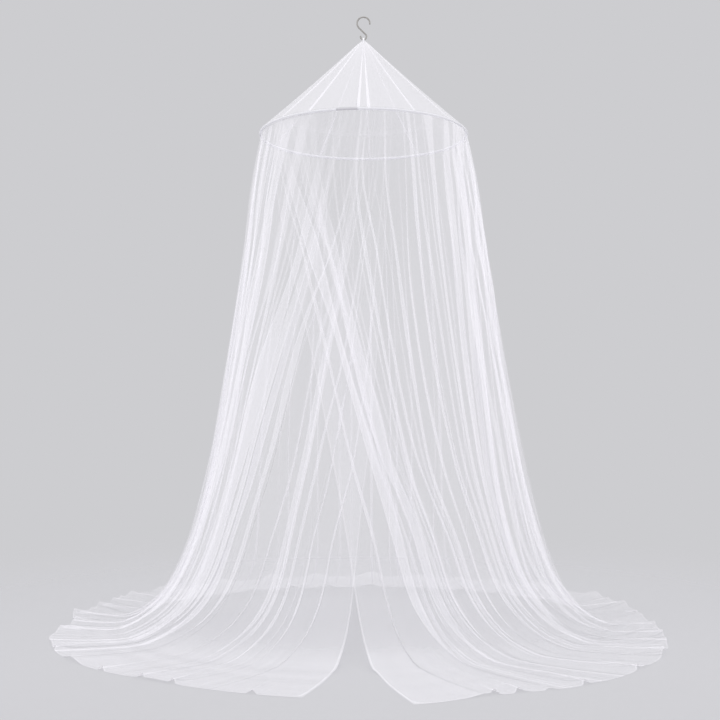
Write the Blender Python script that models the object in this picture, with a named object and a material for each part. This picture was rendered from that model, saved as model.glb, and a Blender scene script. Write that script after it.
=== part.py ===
"""Mosquito net canopy: an S-hook, a hanging loop, a conical net roof, a bound hoop and a long net
wall that hangs open at the front and spreads on the floor in a round train.

Metres, +Z up, the front towards -Y. Heights in the tables are taken from the floor under the train.
The finished pieces are lowered so that the origin is the top of the hook's large bend, on its inner
side, where the canopy hangs. Angles round the canopy start at the front and turn towards +X.
"""

import math

import bmesh
import bpy
import numpy as np

GAP = 0.0003                    # clearance between touching pieces

# Hoop and its sleeve
HOOP_RADIUS = 0.322             # ring, to the middle of the rod
HOOP_HEIGHT = 1.525
ROD_RADIUS = 0.003
BINDING_WALL = 0.001
RING_STEPS = 72                 # hoop segments in a full turn
ROD_SIDES = 8
BARE_FROM_STEP = -4             # the sleeve leaves the rod bare between these two steps
BARE_TO_STEP = -1
# The sleeve's section has flat sides, so its top and bottom lie a little inside its radius.
BINDING_REACH = (ROD_RADIUS + GAP + BINDING_WALL) * math.cos(math.pi / ROD_SIDES)

# S-hook
WIRE_RADIUS = 0.0025
WIRE_SIDES = 8
LARGE_BEND_RADIUS = 0.0200      # both bends to the middle of the wire
SMALL_BEND_RADIUS = 0.0094
LARGE_BEND_HEIGHT = 1.8786      # middle of each bend
SMALL_BEND_HEIGHT = 1.8375

# Hanging loop of tape
TAPE_WIDTH = 0.006
TAPE_THICKNESS = 0.0012
LOOP_HALF_WIDTH = 0.0036        # clear space inside the loop
LOOP_SLACK = 0.0010             # clear space under the wire

# Net
NET_THICKNESS = 0.002
ROOF_COLUMNS = 72
ROOF_ROWS = 8
ROOF_CROWN_RADIUS = 0.0085
ROOF_CROWN_RISE = 0.0012
ROOF_SAG = 0.004
WALL_COLUMNS = 160
WALL_FOLDS = 31
FLOOR_CREST = 0.013             # height of the folds that lie in the train
HEM_SCALLOP = 0.010             # how far a fold's crest draws the hem in
OVERLAP_FLATTENING = 0.3        # how much shallower the folds are where the panels overlap

# Pleats pressed into the roof: angle round the hoop, half width, height at the middle of the roof
ROOF_PLEAT_COLUMNS = ("angle", "half_width", "height")
ROOF_PLEATS = (
    (-54.0, 6.0, 0.0060),
    (-28.0, 6.0, 0.0070),
    (-7.0, 6.0, 0.0060),
    (5.0, 6.0, 0.0050),
    (26.0, 6.0, 0.0070),
    (48.0, 7.0, 0.0060),
    (82.0, 8.0, 0.0050),
    (112.0, 7.0, 0.0060),
    (146.0, 8.0, 0.0060),
    (176.0, 7.0, 0.0050),
    (207.0, 8.0, 0.0060),
    (243.0, 7.0, 0.0060),
    (278.0, 8.0, 0.0050),
)

WALL_TOP = HOOP_HEIGHT - BINDING_REACH - GAP

# Wall, from the hoop down to the hem: height, half width of the bell to the sides and to the front,
# share of the train, share of a fold's swing from the hoop to the hem on each panel, depth of the
# folds, distance of each panel from the middle where the panels overlap, and rest on the floor.
SECTION_COLUMNS = ("height", "side", "front", "train", "swing_right", "swing_left", "fold",
                   "layer", "rest")
WALL_SECTIONS = (
    (WALL_TOP, 0.3210, 0.3210, 0.0, 0.000, 0.000, 0.0034, 0.0045, 0.0),
    (1.4300, 0.3390, 0.3370, 0.0, 0.080, 0.050, 0.0070, 0.0080, 0.0),
    (1.3200, 0.3570, 0.3520, 0.0, 0.165, 0.110, 0.0100, 0.0115, 0.0),
    (1.1900, 0.3730, 0.3650, 0.0, 0.275, 0.190, 0.0125, 0.0140, 0.0),
    (1.0500, 0.3930, 0.3820, 0.0, 0.395, 0.270, 0.0145, 0.0160, 0.0),
    (0.9000, 0.4150, 0.3980, 0.0, 0.510, 0.350, 0.0160, 0.0160, 0.0),
    (0.7400, 0.4410, 0.4160, 0.0, 0.610, 0.435, 0.0170, 0.0160, 0.0),
    (0.5800, 0.4700, 0.4300, 0.0, 0.685, 0.520, 0.0175, 0.0160, 0.0),
    (0.4200, 0.5050, 0.4400, 0.0, 0.755, 0.635, 0.0175, 0.0150, 0.0),
    (0.2800, 0.5440, 0.4470, 0.0, 0.805, 0.710, 0.0160, 0.0130, 0.0),
    (0.1700, 0.5870, 0.4600, 0.0, 0.840, 0.765, 0.0140, 0.0090, 0.1),
    (0.0900, 0.6350, 0.5000, 0.0, 0.870, 0.810, 0.0110, 0.0050, 0.4),
    (0.0350, 0.6900, 0.5700, 0.0, 0.900, 0.850, 0.0090, 0.0000, 0.8),
    (0.0000, 0.7550, 0.6600, 0.0, 0.930, 0.890, 0.0070, 0.0000, 1.0),
    (0.0000, 0.7550, 0.6600, 0.5, 0.965, 0.940, 0.0070, 0.0000, 1.0),
    (0.0000, 0.7550, 0.6600, 1.0, 1.000, 1.000, 0.0060, 0.0000, 1.0),
)

# Where a fold that starts at one angle of the hoop reaches the hem. The right panel's front edge
# comes first and the left panel's front edge last, a full turn and the overlap further on.
SWING_COLUMNS = ("hoop", "hem")
FOLD_SWINGS = (
    (-54.0, 6.8),
    (-43.0, 20.0),
    (-6.0, 30.0),
    (18.0, 50.0),
    (48.0, 74.0),
    (90.0, 102.0),
    (135.0, 140.0),
    (180.0, 180.0),
    (225.0, 218.0),
    (270.0, 250.0),
    (315.0, 278.0),
    (338.0, 293.0),
    (350.0, 302.0),
    (367.0, 332.0),
    (375.0, 351.0),
)

# Outline of the hem on the floor
HEM_COLUMNS = ("angle", "radius")
HEM_OUTLINE = (
    (6.8, 0.968),
    (20.0, 0.930),
    (36.0, 0.955),
    (60.0, 0.937),
    (90.0, 0.897),
    (106.0, 0.930),
    (122.0, 0.955),
    (150.0, 0.935),
    (180.0, 0.945),
    (210.0, 0.940),
    (239.0, 0.972),
    (255.0, 0.925),
    (262.0, 0.950),
    (270.0, 0.910),
    (286.0, 0.948),
    (304.0, 0.942),
    (320.0, 0.914),
    (336.0, 0.903),
    (351.0, 0.915),
)

ORIGIN_HEIGHT = LARGE_BEND_HEIGHT + LARGE_BEND_RADIUS - WIRE_RADIUS


def read_table(columns, rows):
    """Turn a table into one array for each named column."""
    return dict(zip(columns, np.array(rows, dtype=float).T))


def smooth_between(table, known, wanted, places):
    """Read a column of a table at any places, along a smooth curve that never overshoots."""
    x = table[known]
    y = table[wanted]
    step = np.diff(x)
    slope = np.diff(y) / step
    same_way = slope[:-1] * slope[1:] > 0.0
    mean = np.zeros(len(slope) - 1)
    both = slope[:-1] + slope[1:]
    mean[same_way] = 2.0 * slope[:-1][same_way] * slope[1:][same_way] / both[same_way]
    tangent = np.concatenate(([slope[0]], mean, [slope[-1]]))
    place = np.clip(places, x[0], x[-1])
    left = np.clip(np.searchsorted(x, place, side="right") - 1, 0, len(step) - 1)
    t = (place - x[left]) / step[left]
    start = (1.0 + 2.0 * t) * (1.0 - t) ** 2 * y[left] + t * (1.0 - t) ** 2 * step[left] * tangent[left]
    end = t ** 2 * (3.0 - 2.0 * t) * y[left + 1] - t ** 2 * (1.0 - t) * step[left] * tangent[left + 1]
    return start + end


def ease(low, high, value):
    """Go smoothly from 0 at low to 1 at high."""
    t = np.clip((value - low) / (high - low), 0.0, 1.0)
    return t * t * (3.0 - 2.0 * t)


def unit(vectors):
    """Scale vectors to length 1."""
    return vectors / np.linalg.norm(vectors, axis=-1, keepdims=True)


def grid_normals(grid, wrap):
    """Normals of a grid of points, from the differences along its rows and columns."""
    down = np.gradient(grid, axis=0)
    if wrap:
        across = (np.roll(grid, -1, axis=1) - np.roll(grid, 1, axis=1)) / 2.0
    else:
        across = np.gradient(grid, axis=1)
    return unit(np.cross(down, across))


def grid_faces(rows, columns, wrap_rows=False, wrap_columns=False):
    """Quads between neighbouring points of a grid numbered row by row."""
    numbers = np.arange(rows * columns).reshape(rows, columns)
    if wrap_rows:
        numbers = np.vstack((numbers, numbers[:1]))
    if wrap_columns:
        numbers = np.hstack((numbers, numbers[:, :1]))
    corners = (numbers[:-1, :-1], numbers[1:, :-1], numbers[1:, 1:], numbers[:-1, 1:])
    return np.stack(corners, axis=-1).reshape(-1, 4)


def strip_faces(first, second):
    """Quads between two lines of point numbers."""
    return np.stack((first[:-1], first[1:], second[1:], second[:-1]), axis=-1)


def material(name, color, roughness, metallic=0.0):
    """A Principled material."""
    made = bpy.data.materials.new(name)
    made.use_nodes = True
    shader = made.node_tree.nodes["Principled BSDF"]
    shader.inputs["Base Color"].default_value = (*color, 1.0)
    shader.inputs["Roughness"].default_value = roughness
    shader.inputs["Metallic"].default_value = metallic
    return made


def add_piece(name, points, faces, finish, sharp_angle=50.0):
    """Make one closed object from its points and faces, lowered to the hanging point."""
    mesh = bpy.data.meshes.new(name)
    place = np.asarray(points, dtype=float).reshape(-1, 3) - (0.0, 0.0, ORIGIN_HEIGHT)
    mesh.from_pydata(place.tolist(), [], [list(map(int, face)) for face in faces])
    work = bmesh.new()
    work.from_mesh(mesh)
    bmesh.ops.recalc_face_normals(work, faces=work.faces)
    work.to_mesh(mesh)
    work.free()
    mesh.materials.append(finish)
    mesh.shade_smooth()
    mesh.set_sharp_from_angle(angle=math.radians(sharp_angle))
    piece = bpy.data.objects.new(name, mesh)
    bpy.context.scene.collection.objects.link(piece)
    return piece


def cloth_shell(outer, inner, wrap):
    """Points and faces of a sheet between its outer and inner grids, with its edges closed."""
    rows, columns = outer.shape[:2]
    count = rows * columns
    sides = grid_faces(rows, columns, wrap_columns=wrap)
    faces = [sides, sides + count]
    numbers = np.arange(count).reshape(rows, columns)
    edges = [numbers[0], numbers[-1]]
    if wrap:
        edges = [np.append(edge, edge[0]) for edge in edges]
    else:
        edges += [numbers[:, 0], numbers[:, -1]]
    faces += [strip_faces(edge, edge + count) for edge in edges]
    points = np.concatenate((outer.reshape(-1, 3), inner.reshape(-1, 3)))
    return points, [face for group in faces for face in group]


def around(radius, angle, height):
    """Points at an angle round the canopy, 0 at the front and turning towards +X."""
    radius, angle, height = np.broadcast_arrays(radius, angle, height)
    return np.stack((radius * np.sin(angle), -radius * np.cos(angle), height), axis=-1)


# ---------------------------------------------------------------- hook and loop


def hook_path():
    """Middle of the wire: the large bend from its open end, then the small bend to its tip."""
    large_middle = np.array((0.0, LARGE_BEND_HEIGHT))
    small_middle = np.array((0.0, SMALL_BEND_HEIGHT))
    apart = LARGE_BEND_HEIGHT - SMALL_BEND_HEIGHT
    # The straight stretch touches both bends from opposite sides.
    lean = math.asin((LARGE_BEND_RADIUS + SMALL_BEND_RADIUS) / apart)
    large_turn = np.linspace(math.radians(-10.0), math.pi + lean, 22)
    small_turn = np.linspace(lean, math.radians(-200.0), 17)
    large = large_middle + LARGE_BEND_RADIUS * np.stack((np.cos(large_turn), np.sin(large_turn)), axis=-1)
    small = small_middle + SMALL_BEND_RADIUS * np.stack((np.cos(small_turn), np.sin(small_turn)), axis=-1)
    flat = np.concatenate((large, small))
    return np.stack((flat[:, 0], np.zeros(len(flat)), flat[:, 1]), axis=-1)


def make_hook(finish):
    """Sweep a round wire along the hook's path, which lies in one upright plane."""
    path = hook_path()
    along = unit(np.gradient(path, axis=0))
    sideways = np.array((0.0, 1.0, 0.0))
    outward = np.cross(along, sideways)
    turn = np.arange(WIRE_SIDES) * math.tau / WIRE_SIDES
    ring = np.cos(turn)[:, None] * outward[:, None, :] + np.sin(turn)[:, None] * sideways
    points = path[:, None, :] + WIRE_RADIUS * ring
    rows = len(path)
    faces = list(grid_faces(rows, WIRE_SIDES, wrap_columns=True))
    faces.append(np.arange(WIRE_SIDES))
    faces.append(np.arange(WIRE_SIDES) + (rows - 1) * WIRE_SIDES)
    return add_piece("s_hook", points, faces, finish)


def loop_edge_heights():
    """Inner top and inner bottom of the tape loop, just clear of the wire of the small bend."""
    wire_middle = SMALL_BEND_HEIGHT - SMALL_BEND_RADIUS
    # The bend rises towards the tape's sides, so the loop starts a little higher than the wire.
    inside = SMALL_BEND_RADIUS - WIRE_RADIUS
    rise = inside - math.sqrt(inside ** 2 - (TAPE_WIDTH / 2.0) ** 2)
    top = wire_middle + rise + WIRE_RADIUS + 1.5 * GAP
    bottom = wire_middle - WIRE_RADIUS - LOOP_SLACK
    return top, bottom


def make_hanging_loop(finish):
    """Carry the tape's flat section round an oval that stands across the wire."""
    steps = 24
    top, bottom = loop_edge_heights()
    middle = (top + bottom) / 2.0
    half_height = (top - bottom) / 2.0
    turn = np.arange(steps) * math.tau / steps
    rows = []
    for side, grow in ((-1, 0.0), (1, 0.0), (1, TAPE_THICKNESS), (-1, TAPE_THICKNESS)):
        x = np.full(steps, side * TAPE_WIDTH / 2.0)
        y = (LOOP_HALF_WIDTH + grow) * np.sin(turn)
        z = middle + (half_height + grow) * np.cos(turn)
        rows.append(np.stack((x, y, z), axis=-1))
    points = np.stack(rows, axis=1)
    faces = grid_faces(steps, 4, wrap_rows=True, wrap_columns=True)
    return add_piece("hanging_loop", points, faces, finish)


# ---------------------------------------------------------------- hoop and binding


def rod_grid(radius, steps):
    """Rings of points round the hoop's rod, one ring for each step round the hoop."""
    angle = np.asarray(steps) * math.tau / RING_STEPS
    turn = (np.arange(ROD_SIDES) + 0.5) * math.tau / ROD_SIDES
    reach = HOOP_RADIUS + radius * np.cos(turn)
    height = HOOP_HEIGHT + radius * np.sin(turn)
    return around(reach[None, :], angle[:, None], height[None, :])


def make_hoop(finish):
    """A closed round ring."""
    points = rod_grid(ROD_RADIUS, np.arange(RING_STEPS))
    faces = grid_faces(RING_STEPS, ROD_SIDES, wrap_rows=True, wrap_columns=True)
    return add_piece("hoop", points, faces, finish)


def make_binding(finish):
    """A thin sleeve round the rod, open where its two ends leave the rod bare."""
    steps = np.arange(BARE_TO_STEP, RING_STEPS + BARE_FROM_STEP + 1)
    inner = rod_grid(ROD_RADIUS + GAP, steps)
    outer = rod_grid(ROD_RADIUS + GAP + BINDING_WALL, steps)
    points, faces = cloth_shell(outer, inner, wrap=True)
    return add_piece("hoop_binding", points, faces, finish)


# ---------------------------------------------------------------- roof


def roof_grid():
    """Inner side of the roof below its crown: a cone that sags a little and carries pleats."""
    foot = HOOP_HEIGHT + BINDING_REACH + GAP
    peak = loop_edge_heights()[1] - TAPE_THICKNESS - GAP - ROOF_CROWN_RISE - NET_THICKNESS
    share = np.linspace(0.0, 1.0, ROOF_ROWS)[:, None]
    angle = np.arange(ROOF_COLUMNS)[None, :] * math.tau / ROOF_COLUMNS
    radius = ROOF_CROWN_RADIUS + (HOOP_RADIUS - ROOF_CROWN_RADIUS) * share
    height = peak + (foot - peak) * share - ROOF_SAG * 4.0 * share * (1.0 - share)
    pleats = read_table(ROOF_PLEAT_COLUMNS, ROOF_PLEATS)
    away = np.degrees(angle)[..., None] - pleats["angle"]
    away = np.abs((away + 180.0) % 360.0 - 180.0)
    ridge = 1.0 - ease(0.0, 1.0, away / pleats["half_width"])
    lift = (ridge * pleats["height"]).sum(axis=-1) * 4.0 * share * (1.0 - share)
    slope = math.atan2(peak - foot, HOOP_RADIUS - ROOF_CROWN_RADIUS)
    return around(radius + lift * math.sin(slope), angle, height + lift * math.cos(slope))


def make_roof(finish):
    """The cone with its thickness, closed at the top by a small round crown."""
    inner = roof_grid()
    outward = -grid_normals(inner, wrap=True)
    outward *= np.sign(outward[:, :, 2:3])
    # The top ring grows straight up and the foot grows straight out, so both edges stay level.
    outward[0] = (0.0, 0.0, 1.0)
    outer = inner + NET_THICKNESS * outward
    points, faces = cloth_shell(outer, inner, wrap=True)
    rows, columns = inner.shape[:2]
    count = rows * columns
    top_edge = [face for face in faces if not np.all(np.isin(face % count, np.arange(columns)))]
    poles = (outer[0].mean(axis=0), inner[0].mean(axis=0))
    poles = np.array(poles) + (0.0, 0.0, ROOF_CROWN_RISE)
    points = np.concatenate((points, poles))
    for side in range(2):
        ring = np.append(np.arange(columns), 0) + side * count
        top_edge += [(ring[i], ring[i + 1], 2 * count + side) for i in range(columns)]
    return add_piece("net_roof", points, top_edge, finish)


# ---------------------------------------------------------------- wall


def uneven_folds(across):
    """Phase of the folds and their share of the full depth, both a little uneven."""
    phase = WALL_FOLDS * across
    phase = phase + 0.26 * np.sin(math.tau * 3.7 * across + 1.0) + 0.14 * np.sin(math.tau * 8.3 * across)
    depth = 0.80 + 0.16 * np.sin(math.tau * 5.3 * across + 0.5) + 0.16 * np.sin(math.tau * 11.7 * across)
    return math.tau * phase, np.clip(depth, 0.5, 1.0)


def wall_grid():
    """Inner side of the wall: rows from the hoop to the hem, columns along the gathered cloth."""
    section = read_table(SECTION_COLUMNS, WALL_SECTIONS)
    section = {name: column[:, None] for name, column in section.items()}
    swings = read_table(SWING_COLUMNS, FOLD_SWINGS)
    hem = read_table(HEM_COLUMNS, HEM_OUTLINE)

    across = np.linspace(0.0, 1.0, WALL_COLUMNS)
    first, last = swings["hoop"][0], swings["hoop"][-1]
    at_hoop = (first + (last - first) * across)[None, :]
    at_hem = smooth_between(swings, "hoop", "hem", at_hoop)
    left_share = ease(90.0, 270.0, at_hoop)
    swing = section["swing_right"] * (1.0 - left_share) + section["swing_left"] * left_share
    turned = at_hoop + (at_hem - at_hoop) * swing
    angle = np.radians(turned)

    bell = 1.0 / np.hypot(np.sin(angle) / section["side"], np.cos(angle) / section["front"])
    hem_radius = smooth_between(hem, "angle", "radius", turned)
    phase, depth = uneven_folds(across)
    hem_radius = hem_radius - HEM_SCALLOP * depth * np.cos(phase)
    radius = bell + (hem_radius - bell) * section["train"]
    height = np.broadcast_to(section["height"], radius.shape)

    edge = np.minimum(ease(first - 2.0, first + 10.0, at_hoop), ease(last + 2.0, last - 10.0, at_hoop))
    hung = np.cos(phase)
    lying = np.maximum(hung, 0.0) ** 1.5 * FLOOR_CREST / section["fold"]
    fold = section["fold"] * depth * edge * (hung + (lying - hung) * section["rest"])
    outside = ease(100.0, 20.0, at_hoop)
    inside = ease(240.0, 300.0, at_hoop)
    crowding = 1.0 - OVERLAP_FLATTENING * np.maximum(outside, inside) * (1.0 - section["rest"])
    lift = fold * crowding + section["layer"] * (outside - inside)

    # Folds stand out along the profile's own outward direction, which turns from level to upright.
    run = np.gradient(radius, axis=0)
    fall = -np.gradient(height, axis=0)
    length = np.hypot(run, fall)
    level, upright = fall / length, run / length
    level[0], upright[0] = 1.0, 0.0
    level[-3:], upright[-3:] = 0.0, 1.0
    return around(radius + lift * level, angle, np.maximum(height + lift * upright, 0.0))


def make_wall(finish):
    """Give the wall its thickness on its outer side and on top of its train."""
    inner = wall_grid()
    outward = grid_normals(inner, wrap=False)
    outward[0, :, 2] = 0.0
    outward[-1] = (0.0, 0.0, 1.0)
    outer = inner + NET_THICKNESS * unit(outward)
    points, faces = cloth_shell(outer, inner, wrap=False)
    return add_piece("net_wall", points, faces, finish)


def clear_scene():
    """Remove what a new scene holds."""
    for thing in list(bpy.data.objects):
        bpy.data.objects.remove(thing, do_unlink=True)


def main():
    clear_scene()
    steel = material("galvanised_steel", (0.56, 0.56, 0.55), 0.38, 1.0)
    rod = material("grey_hoop_rod", (0.42, 0.41, 0.43), 0.45)
    tape = material("white_tape", (0.86, 0.86, 0.88), 0.85)
    net = material("white_net", (0.80, 0.80, 0.84), 0.90)
    make_hook(steel)
    make_hanging_loop(tape)
    make_hoop(rod)
    make_binding(tape)
    make_roof(net)
    make_wall(net)


main()
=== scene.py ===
# %% [markdown]
# # A mosquito net canopy
#
# The real canopy hangs from one steel S-hook. A loop of tape holds a cone of white net, the cone
# ends on a hoop in a sewn sleeve, and from the hoop a very long gathered wall of net falls to the
# floor, laps over itself at the front and spreads in a round train. Everything is cloth or wire,
# so every piece here is a surface: a grid of points that numpy works out in one go.
# Sizes are metres, +Z is up and the front looks towards -Y.

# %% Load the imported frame
import math

import bpy
import numpy as np
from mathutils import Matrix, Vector


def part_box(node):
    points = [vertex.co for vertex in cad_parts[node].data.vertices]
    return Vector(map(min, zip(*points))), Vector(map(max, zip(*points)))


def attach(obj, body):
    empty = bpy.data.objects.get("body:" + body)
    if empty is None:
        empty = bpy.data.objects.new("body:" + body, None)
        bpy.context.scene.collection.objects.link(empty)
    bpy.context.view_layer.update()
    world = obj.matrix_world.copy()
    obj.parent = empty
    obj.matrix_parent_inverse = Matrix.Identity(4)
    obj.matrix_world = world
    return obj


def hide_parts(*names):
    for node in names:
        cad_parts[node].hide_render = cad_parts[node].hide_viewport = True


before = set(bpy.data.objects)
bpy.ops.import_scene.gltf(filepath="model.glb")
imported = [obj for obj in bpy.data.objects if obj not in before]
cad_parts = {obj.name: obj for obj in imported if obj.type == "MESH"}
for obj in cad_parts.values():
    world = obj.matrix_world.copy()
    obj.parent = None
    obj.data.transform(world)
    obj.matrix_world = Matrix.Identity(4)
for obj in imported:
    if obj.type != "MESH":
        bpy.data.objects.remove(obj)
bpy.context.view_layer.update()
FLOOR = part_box("net_wall")[0].z
print("frame:", sorted(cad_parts), "floor at", round(FLOOR, 4))

# %% [markdown]
# ## Curves through tables
#
# A maker's drawing gives a few sections, and the cloth runs smoothly between them. Two helpers do
# that: one reads a table by its column names, and one draws a curve through a column that never
# overshoots its points, so that a net which narrows in the table never bulges in between.

# %% Helpers for tables and curves
def read_table(columns, rows):
    """Turn a table into one array for each named column."""
    return dict(zip(columns, np.array(rows, dtype=float).T))


def smooth_between(x, y, places):
    """Monotone cubic: at each point the slope is the harmonic mean of its neighbours' slopes."""
    step = np.diff(x)
    slope = np.diff(y) / step
    same_way = slope[:-1] * slope[1:] > 0.0
    mean = np.zeros(len(slope) - 1)
    total = slope[:-1] + slope[1:]
    mean[same_way] = 2.0 * slope[:-1][same_way] * slope[1:][same_way] / total[same_way]
    tangent = np.concatenate(([slope[0]], mean, [slope[-1]]))
    place = np.clip(places, x[0], x[-1])
    left = np.clip(np.searchsorted(x, place, side="right") - 1, 0, len(step) - 1)
    t = (place - x[left]) / step[left]
    start = (1.0 + 2.0 * t) * (1.0 - t) ** 2 * y[left]
    start = start + t * (1.0 - t) ** 2 * step[left] * tangent[left]
    end = t ** 2 * (3.0 - 2.0 * t) * y[left + 1]
    end = end - t ** 2 * (1.0 - t) * step[left] * tangent[left + 1]
    return start + end


def ease(low, high, value):
    """Go smoothly from 0 at low to 1 at high: 3t^2 - 2t^3."""
    t = np.clip((value - low) / (high - low), 0.0, 1.0)
    return t * t * (3.0 - 2.0 * t)


def around(radius, angle, height):
    """Points at an angle round the canopy: x = r sin(a), y = -r cos(a), so 0 is the front."""
    radius, angle, height = np.broadcast_arrays(radius, angle, height)
    return np.stack((radius * np.sin(angle), -radius * np.cos(angle), height), axis=-1)


# %% [markdown]
# ## From a grid to a mesh
#
# A grid of rows and columns becomes quads between neighbours. A closed piece, such as a ring,
# joins its last row or column to its first. The UV map holds real metres of cloth, so a thread
# spacing in millimetres can be used as it is. A cloth also keeps two numbers at each point, as
# attributes: how far it lies from the nearest sewn edge, and how densely its threads lie.

# %% Surface maker
def corners(numbers):
    """The four numbers round each quad, down first, so that faces look away from the canopy."""
    return np.stack((numbers[:-1, :-1], numbers[1:, :-1], numbers[1:, 1:], numbers[:-1, 1:]), -1)


def surface(name, grid, uv, finish, wrap_rows=False, wrap_columns=False, caps=(), **kept):
    """Make an object from a grid of points (rows, columns, 3) and its UVs, one more each way
    where the grid is closed, with a flat cap on the first row, the last row or both. Each array
    in kept becomes an attribute of its name."""
    rows, columns = grid.shape[:2]
    numbers = np.arange(rows * columns).reshape(rows, columns)
    if wrap_rows:
        numbers = np.vstack((numbers, numbers[:1]))
    if wrap_columns:
        numbers = np.hstack((numbers, numbers[:, :1]))
    faces = corners(numbers).reshape(-1, 4).tolist()
    uv = np.broadcast_to(uv, numbers.shape + (2,)).reshape(-1, 2)
    uv_order = corners(np.arange(numbers.size).reshape(numbers.shape)).reshape(-1)
    ends = {"first": np.arange(columns), "last": np.arange(rows * columns)[:-columns - 1:-1]}
    faces += [ends[cap].tolist() for cap in caps]
    uv_order = np.concatenate((uv_order, np.zeros(columns * len(caps), dtype=int)))
    mesh = bpy.data.meshes.new(name)
    mesh.from_pydata(grid.reshape(-1, 3).tolist(), [], faces)
    mesh.uv_layers.new(name="cloth_metres").data.foreach_set("uv", uv[uv_order].ravel())
    for label, values in kept.items():
        attribute = mesh.attributes.new(label, "FLOAT", "POINT")
        attribute.data.foreach_set("value", np.broadcast_to(values, (rows, columns)).ravel())
    mesh.materials.append(finish)
    mesh.shade_smooth()
    piece = bpy.data.objects.new(name, mesh)
    bpy.context.scene.collection.objects.link(piece)
    print(f"{name}: {rows} x {columns} points, {2 * len(faces)} triangles")
    return piece


# %% [markdown]
# ## Colours and nodes
#
# Colours are given as sRGB hex values, as on a screen, and light is added up in linear
# numbers, so one function turns the first into the second. One more function adds a shader node
# with its settings and its links.

# %% Colour and node helpers
def linear(hex_colour):
    """sRGB hex to linear: c/12.92 in the dark part, ((c + 0.055)/1.055)^2.4 above it."""
    parts = np.array([int(hex_colour[i:i + 2], 16) for i in (1, 3, 5)]) / 255.0
    light = np.where(parts <= 0.04045, parts / 12.92, ((parts + 0.055) / 1.055) ** 2.4)
    return (*light.tolist(), 1.0)


def add_node(tree, kind, settings=None, inputs=None):
    """Add one node. Settings are its properties, inputs are values or other nodes' outputs."""
    made = tree.nodes.new(kind)
    for name, value in (settings or {}).items():
        setattr(made, name, value)
    for name, value in (inputs or {}).items():
        if isinstance(value, bpy.types.NodeSocket):
            tree.links.new(value, made.inputs[name])
        else:
            made.inputs[name].default_value = value
    return made


def new_finish(name, colour, roughness, **sockets):
    """A Principled material with its even values, returned with its tree and its shader."""
    made = bpy.data.materials.new(name)
    made.use_nodes = True
    tree = made.node_tree
    shader = tree.nodes["Principled BSDF"]
    shader.inputs["Base Color"].default_value = linear(colour)
    shader.inputs["Roughness"].default_value = roughness
    for socket, value in sockets.items():
        shader.inputs[socket.replace("_", " ")].default_value = value
    return made, tree, shader


# %% [markdown]
# ## The net
#
# Mosquito net is warp-knitted polyester, heat-set white, with holes of about 1.5 mm. A modeller
# could cut every hole, but from three metres away the eye sees only a veil: one layer hides a
# fifth of what is behind it, and folds look whiter because there are more layers. So the holes
# are in the material's alpha, and the folds are real layers of mesh. Where the cloth is turned
# over and sewn it is denser, which the edge distance gives, and so it is where a fold is pressed.

# %% Net finish
MESH_PITCH = 0.003          # real holes are 1.5 mm; drawn twice as coarse, so that they show close up
THREAD_ALPHA = 0.185        # what a thread hides, spread over the width at which it is drawn
HOLE_ALPHA = 0.09           # what the threads hide that are too fine to be drawn
THREAD_CORE = 0.06          # half a thread's width, in shares of the pitch
THREAD_RIM = 0.24           # where its soft rim ends
HEM_WIDTH = 0.004           # folded twice and sewn
HEM_RIM = 0.001             # over this length the hem fades into the net
HEM_ALPHA = 0.07
STITCH_INSET = 0.003        # the sewing line, from the edge
STITCH_WIDTH = 0.0006
STITCH_LENGTH = 0.004
STITCH_ALPHA = 0.25


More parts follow.
